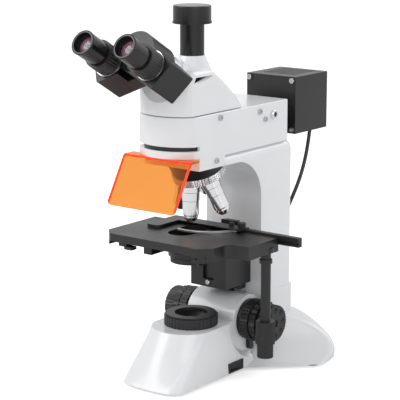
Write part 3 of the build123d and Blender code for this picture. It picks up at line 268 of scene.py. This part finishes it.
# Joins the loose triangles, then shades smooth where faces meet at less than the given angle
def makeSmoothTree():
    tree = bpy.data.node_groups.new("smoothTurns", "GeometryNodeTree")
    tree.interface.new_socket("Geometry", in_out="INPUT", socket_type="NodeSocketGeometry")
    angle = tree.interface.new_socket("Angle", in_out="INPUT", socket_type="NodeSocketFloat")
    angle.default_value = radians(28)
    tree.interface.new_socket("Geometry", in_out="OUTPUT", socket_type="NodeSocketGeometry")
    make, link = tree.nodes.new, tree.links.new
    start, end = make("NodeGroupInput"), make("NodeGroupOutput")
    merge = make("GeometryNodeMergeByDistance")
    merge.inputs["Distance"].default_value = 1e-6
    smooth = make("GeometryNodeSetShadeSmooth")
    sharp = make("GeometryNodeSetShadeSmooth")
    sharp.domain = "EDGE"
    sharp.inputs["Shade Smooth"].default_value = False
    edge = make("GeometryNodeInputMeshEdgeAngle")
    above = make("FunctionNodeCompare")
    above.operation = "GREATER_THAN"
    link(start.outputs["Geometry"], merge.inputs["Geometry"])
    link(merge.outputs["Geometry"], smooth.inputs["Geometry"])
    link(smooth.outputs["Geometry"], sharp.inputs["Geometry"])
    link(edge.outputs["Unsigned Angle"], above.inputs["A"])
    link(start.outputs["Angle"], above.inputs["B"])
    link(above.outputs["Result"], sharp.inputs["Selection"])
    link(sharp.outputs["Geometry"], end.inputs["Geometry"])
    return tree


smoothTree = makeSmoothTree()


def smoothShade(obj):
    obj.modifiers.new("smoothTurns", "NODES").node_group = smoothTree


for finishName, names in nodeFinish.items():
    for nodeName in names.split():
        nodes[nodeName].data.materials.clear()
        nodes[nodeName].data.materials.append(materials[finishName])
        smoothShade(nodes[nodeName])
print("finishes set")

# Lamp lead
leadSet = {
    "radius": 2.5,
    "length": 0.1569,
    "route": [
        (29, 222, 291.2), (29, 218, 272), (30, 209, 249), (30, 197.5, 227),
        (27, 187, 206), (20, 181.5, 185), (13, 180.4, 163), (10, 180, 144.8),
    ],
}


def addLead():
    curve = bpy.data.curves.new("lampLeadCord", "CURVE")
    curve.dimensions = "3D"
    spline = curve.splines.new("NURBS")
    spline.points.add(len(leadSet["route"]) - 1)
    for point, place in zip(spline.points, leadSet["route"]):
        point.co = (*rowPoint(*place), 1)
    spline.order_u = 3
    spline.use_endpoint_u = True
    spline.resolution_u = 12
    curve.bevel_depth = leadSet["radius"] / 1000
    curve.bevel_resolution = 6
    curve.use_fill_caps = True
    lead = bpy.data.objects.new("lampLeadCord", curve)
    bpy.context.scene.collection.objects.link(lead)
    curve.materials.append(materials["leadSheath"])
    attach(lead, "stand")
    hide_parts("lamp_lead")


addLead()
print("lamp lead laid")


# Puts a mesh drawn in millimetres at its place and hands it to its body
def finishPiece(name, mesh, place, material, body):
    mesh.transform(toRow @ place)
    if material:
        mesh.materials.append(materials[material])
    piece = bpy.data.objects.new(name, mesh)
    bpy.context.scene.collection.objects.link(piece)
    smoothShade(piece)
    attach(piece, body)
    return piece


# A solid of revolution about Z from points (radius, height), which start and end alike
def turnedMesh(name, profile, segments=64):
    shape = bmesh.new()
    rings = []
    for radius, height in profile:
        if radius < 1e-6:
            rings.append([shape.verts.new((0, 0, height))])
            continue
        ring = []
        for i in range(segments):
            angle = 2 * pi * i / segments
            ring.append(shape.verts.new((radius * cos(angle), radius * sin(angle), height)))
        rings.append(ring)
    for low, high in zip(rings, rings[1:]):
        for i in range(segments):
            j = (i + 1) % segments
            face = [low[i % len(low)], low[j % len(low)], high[j % len(high)], high[i % len(high)]]
            face = list(dict.fromkeys(face))
            if len(face) > 2:
                shape.faces.new(face)
    bmesh.ops.recalc_face_normals(shape, faces=shape.faces)
    mesh = bpy.data.meshes.new(name)
    shape.to_mesh(mesh)
    shape.free()
    return mesh


# The nosepiece's axis leans back, and its seats lie round it at the pitch radius
noseSet = {
    "tilt": 21.5,
    "pitch": 21.0,
    "plane": 246.0,
    "seatAngle": 72,
    "beadCircle": 33.6,
    "beadCount": 72,
    "beadRadius": 1.15,
    "beadRows": (-12.2, -9.6, -7.0),
    "bandSink": 1.0,
    "bandStand": 0.35,
    "bandWidth": 1.4,
}

# Seat, radius, height below the seat's plane and paint of each objective's coloured band
objectiveBands = {
    "objective_4x": (4, 10.2, 14.5, "redLine"),
    "objective_10x": (0, 10.4, 15.0, "whiteMark"),
    "objective_40x": (1, 10.0, 15.5, "redLine"),
    "objective_100x": (2, 10.0, 15.5, "whiteMark"),
}


# Z runs down the nosepiece's axis
def noseFrame():
    tilt = radians(noseSet["tilt"])
    down = Vector((0, sin(tilt), -cos(tilt)))
    side = down.cross(Vector((1, 0, 0)))
    turn = Matrix(((1, side.x, down.x), (0, side.y, down.y), (0, side.z, down.z))).to_4x4()
    middle = (0, noseSet["pitch"] * cos(tilt), noseSet["plane"] + noseSet["pitch"] * sin(tilt))
    return Matrix.Translation(middle) @ turn


# Z runs down the axis of the objective in the seat
def seatFrame(place):
    spin = Matrix.Rotation(radians(noseSet["seatAngle"] * place), 4, "Z")
    out = Matrix.Translation((0, noseSet["pitch"], 0))
    return noseFrame() @ (spin @ out) @ Matrix.Rotation(radians(-noseSet["tilt"]), 4, "X")


# Copies of the object's mesh in a ring about Z, all turned outwards
def makeRingTree():
    tree = bpy.data.node_groups.new("repeatRound", "GeometryNodeTree")
    sockets = tree.interface
    sockets.new_socket("Geometry", in_out="INPUT", socket_type="NodeSocketGeometry")
    sockets.new_socket("Count", in_out="INPUT", socket_type="NodeSocketInt")
    sockets.new_socket("Radius", in_out="INPUT", socket_type="NodeSocketFloat")
    sockets.new_socket("Material", in_out="INPUT", socket_type="NodeSocketMaterial")
    sockets.new_socket("Geometry", in_out="OUTPUT", socket_type="NodeSocketGeometry")
    make, link = tree.nodes.new, tree.links.new
    start, end = make("NodeGroupInput"), make("NodeGroupOutput")
    circle = make("GeometryNodeMeshCircle")
    place = make("GeometryNodeInstanceOnPoints")
    align = make("FunctionNodeAlignEulerToVector")
    align.axis = "X"
    align.pivot_axis = "Z"
    solid = make("GeometryNodeRealizeInstances")
    paint = make("GeometryNodeSetMaterial")
    link(start.outputs["Count"], circle.inputs["Vertices"])
    link(start.outputs["Radius"], circle.inputs["Radius"])
    link(circle.outputs[0], place.inputs["Points"])
    link(start.outputs["Geometry"], place.inputs["Instance"])
    link(make("GeometryNodeInputPosition").outputs[0], align.inputs["Vector"])
    link(align.outputs[0], place.inputs["Rotation"])
    link(place.outputs[0], solid.inputs[0])
    link(solid.outputs[0], paint.inputs["Geometry"])
    link(start.outputs["Material"], paint.inputs["Material"])
    link(paint.outputs[0], end.inputs["Geometry"])
    return tree


ringTree = makeRingTree()


# The finished mesh of such a ring
def repeatRound(mesh, count, radius, material):
    item = bpy.data.objects.new("ringItem", mesh)
    bpy.context.scene.collection.objects.link(item)
    modifier = item.modifiers.new("repeatRound", "NODES")
    modifier.node_group = ringTree
    values = {"Count": count, "Radius": radius, "Material": materials[material]}
    for socket in ringTree.interface.items_tree:
        if socket.in_out == "INPUT" and socket.name in values:
            modifier[socket.identifier] = values[socket.name]
    bpy.context.view_layer.update()
    depsgraph = bpy.context.evaluated_depsgraph_get()
    result = bpy.data.meshes.new_from_object(item.evaluated_get(depsgraph))
    bpy.data.objects.remove(item)
    return result


def beadMesh(radius, rows=5, segments=8):
    profile = []
    for i in range(rows + 1):
        angle = pi * i / rows
        profile.append((radius * sin(angle), -radius * cos(angle)))
    return turnedMesh("bead", profile, segments)


# The turret's knurling and the objectives' bands
def addNosepieceDetail():
    for row, height in enumerate(noseSet["beadRows"]):
        bead = beadMesh(noseSet["beadRadius"])
        mesh = repeatRound(bead, noseSet["beadCount"], noseSet["beadCircle"], "chrome")
        place = noseFrame() @ Matrix.Translation((0, 0, height))
        finishPiece("turretBeads" + str(row), mesh, place, None, "nosepiece")
    for name, (seat, radius, top, paint) in objectiveBands.items():
        inner = radius - noseSet["bandSink"]
        outer = radius + noseSet["bandStand"]
        low = top + noseSet["bandWidth"]
        band = turnedMesh("band", [(inner, top), (outer, top), (outer, low), (inner, low), (inner, top)])
        finishPiece(name + "Band", band, seatFrame(seat), paint, "nosepiece")


fastenerSet = {
    "knobPlace": (43, 115.5, 326.1),
    "knob": [(0, -0.2), (5.2, -0.2), (5.6, 0.4), (5.6, 3.4), (4.9, 4.1), (3.2, 4.1), (3.0, 3.2), (0, 3.2)],
    "knobCentre": [(0, 3.1), (2.9, 3.1), (2.9, 3.5), (0, 3.6)],
    "screwPlace": (0, 36, 114.5),
    "screw": [(0, -0.2), (3.2, -0.2), (3.2, 1.8), (2.8, 2.2), (1.4, 2.2), (1.3, 1.0), (0, 1.0)],
    "screwSegments": 32,
}


# The clamp knob on the housing's side and the screw in the stage bracket's front
def addFasteners():
    knobPlace = Matrix.Translation(fastenerSet["knobPlace"]) @ Matrix.Rotation(radians(90), 4, "Y")
    knob = turnedMesh("knob", fastenerSet["knob"])
    finishPiece("housingKnob", knob, knobPlace, "chrome", "stand")
    centre = turnedMesh("centre", fastenerSet["knobCentre"])
    finishPiece("housingKnobCentre", centre, knobPlace, "blackPlastic", "stand")
    screwPlace = Matrix.Translation(fastenerSet["screwPlace"]) @ Matrix.Rotation(radians(90), 4, "X")
    screw = turnedMesh("screw", fastenerSet["screw"], fastenerSet["screwSegments"])
    finishPiece("bracketScrew", screw, screwPlace, "turnedSteel", "carriage")


shieldSet = {
    "tilt": 30.3,
    "y": -66.0,
    "z": 290.0,
    "half": 51.4,
    "length": 63.0,
    "rim": 1.55,
    "taper": 0.4,
    "segments": 16,
}


# Painted highlights: glowing strips on the sheet's rims and its bend, where the light would catch them
def addShieldGlow():
    half = shieldSet["half"]
    tilt = radians(shieldSet["tilt"])
    fall = Vector((0, -sin(tilt), -cos(tilt)))
    top = Vector((0, shieldSet["y"], shieldSet["z"]))
    runs = {
        "Bend": (Vector((-half, 0, 0)) + top, Vector((1, 0, 0)), 2 * half),
        "Left": (Vector((-half, 0, 0)) + top, fall, shieldSet["length"]),
        "Right": (Vector((half, 0, 0)) + top, fall, shieldSet["length"]),
    }
    for word, (start, along, length) in runs.items():
        rim, taper = shieldSet["rim"], shieldSet["taper"]
        profile = [(0, 0), (rim, taper), (rim, length - taper), (0, length)]
        strip = turnedMesh("strip", profile, shieldSet["segments"])
        place = Matrix.Translation(start) @ along.to_track_quat("Z", "Y").to_matrix().to_4x4()
        finishPiece("shieldGlow" + word, strip, place, "orangeEdgeHighlight", "stand")


eyeSet = {
    "y": -163.0,
    "z": 438.0,
    "half": 31.5,
    "tilt": 30.0,
    "length": 56.0,
    "segments": 96,
    "collar": [(14.5, 2.4), (19.25, 2.4), (19.25, 3.1), (14.5, 3.1), (14.5, 2.4)],
    "lip": [(15.0, 54.2), (15.6, 54.2), (15.7, 55.6), (15.0, 56.1), (15.0, 54.2)],
}


# A bright collar at each eyepiece's foot and a soft lip at its top
def addEyeRings():
    tilt = radians(eyeSet["tilt"])
    along = Vector((0, -cos(tilt), sin(tilt)))
    turn = along.to_track_quat("Z", "Y").to_matrix().to_4x4()
    for side, body in ((-1, "left_barrel"), (1, "right_barrel")):
        top = Vector((side * eyeSet["half"], eyeSet["y"], eyeSet["z"]))
        place = Matrix.Translation(top - along * eyeSet["length"]) @ turn
        collar = turnedMesh("collar", eyeSet["collar"], eyeSet["segments"])
        finishPiece("armRim" + body, collar, place, "turnedSteel", body)
        lip = turnedMesh("lip", eyeSet["lip"], eyeSet["segments"])
        finishPiece("eyeLip" + body, lip, place, "rubber", body)


addNosepieceDetail()
addFasteners()
addEyeRings()
addShieldGlow()
print("small pieces made")

# Light and backdrop
stageSet = {
    "floor": 6.0,
    "floorGlow": 0.5,
    "world": 0.6,
    "target": (0, 20, 230),
    "lamps": {
        "keyLamp": {"place": (-1.5, -1.6, 2.0), "size": 1.6, "power": 30},
        "fillLamp": {"place": (1.9, -1.3, 1.2), "size": 1.4, "power": 11},
        "rimLamp": {"place": (0.8, 1.8, 1.9), "size": 1.2, "power": 12},
    },
}


# White to the camera, with the soft shadow kept
def paleMaterial():
    mat = bpy.data.materials.new("paleFloor")
    mat.use_nodes = True
    shader = mat.node_tree.nodes["Principled BSDF"]
    shader.inputs["Base Color"].default_value = (0.93, 0.93, 0.93, 1)
    shader.inputs["Roughness"].default_value = 0.9
    shader.inputs["Specular IOR Level"].default_value = 0.1
    shader.inputs["Emission Color"].default_value = (1, 1, 1, 1)
    path = mat.node_tree.nodes.new("ShaderNodeLightPath")
    glow = mat.node_tree.nodes.new("ShaderNodeMath")
    glow.operation = "MULTIPLY"
    glow.inputs[1].default_value = stageSet["floorGlow"]
    mat.node_tree.links.new(path.outputs["Is Camera Ray"], glow.inputs[0])
    mat.node_tree.links.new(glow.outputs[0], shader.inputs["Emission Strength"])
    return mat


def addFloor():
    mesh = bpy.data.meshes.new("floor")
    half = stageSet["floor"]
    corners = [(-half, -half, 0), (half, -half, 0), (half, half, 0), (-half, half, 0)]
    mesh.from_pydata(corners, [], [(0, 1, 2, 3)])
    mesh.materials.append(paleMaterial())
    floor = bpy.data.objects.new("floor", mesh)
    bpy.context.scene.collection.objects.link(floor)


# Plain white where it is seen, in glass or in a reflection, and dimmer as a light
def addWorld():
    world = bpy.data.worlds.new("studio")
    world.use_nodes = True
    tree = world.node_tree
    back = tree.nodes["Background"]
    back.inputs["Color"].default_value = (1, 1, 1, 1)
    back.inputs["Strength"].default_value = stageSet["world"]
    seen = tree.nodes.new("ShaderNodeBackground")
    seen.inputs["Color"].default_value = (1, 1, 1, 1)
    seen.inputs["Strength"].default_value = 1.0
    path = tree.nodes.new("ShaderNodeLightPath")
    mix = tree.nodes.new("ShaderNodeMixShader")
    either = tree.nodes.new("ShaderNodeMath")
    either.operation = "MAXIMUM"
    anyOf = tree.nodes.new("ShaderNodeMath")
    anyOf.operation = "MAXIMUM"
    tree.links.new(path.outputs["Is Camera Ray"], either.inputs[0])
    tree.links.new(path.outputs["Is Transmission Ray"], either.inputs[1])
    tree.links.new(either.outputs[0], anyOf.inputs[0])
    tree.links.new(path.outputs["Is Glossy Ray"], anyOf.inputs[1])
    tree.links.new(anyOf.outputs[0], mix.inputs[0])
    tree.links.new(back.outputs[0], mix.inputs[1])
    tree.links.new(seen.outputs[0], mix.inputs[2])
    tree.links.new(mix.outputs[0], tree.nodes["World Output"].inputs["Surface"])
    bpy.context.scene.world = world


def addLamps():
    target = rowPoint(*stageSet["target"])
    for name, settings in stageSet["lamps"].items():
        lamp = bpy.data.lights.new(name, "AREA")
        lamp.energy = settings["power"]
        lamp.size = settings["size"]
        holder = bpy.data.objects.new(name, lamp)
        holder.location = settings["place"]
        aim = target - Vector(settings["place"])
        holder.rotation_euler = aim.to_track_quat("-Z", "Y").to_euler()
        bpy.context.scene.collection.objects.link(holder)


addFloor()
addWorld()
addLamps()
bpy.context.scene.view_settings.view_transform = "Standard"
print("stage lit")
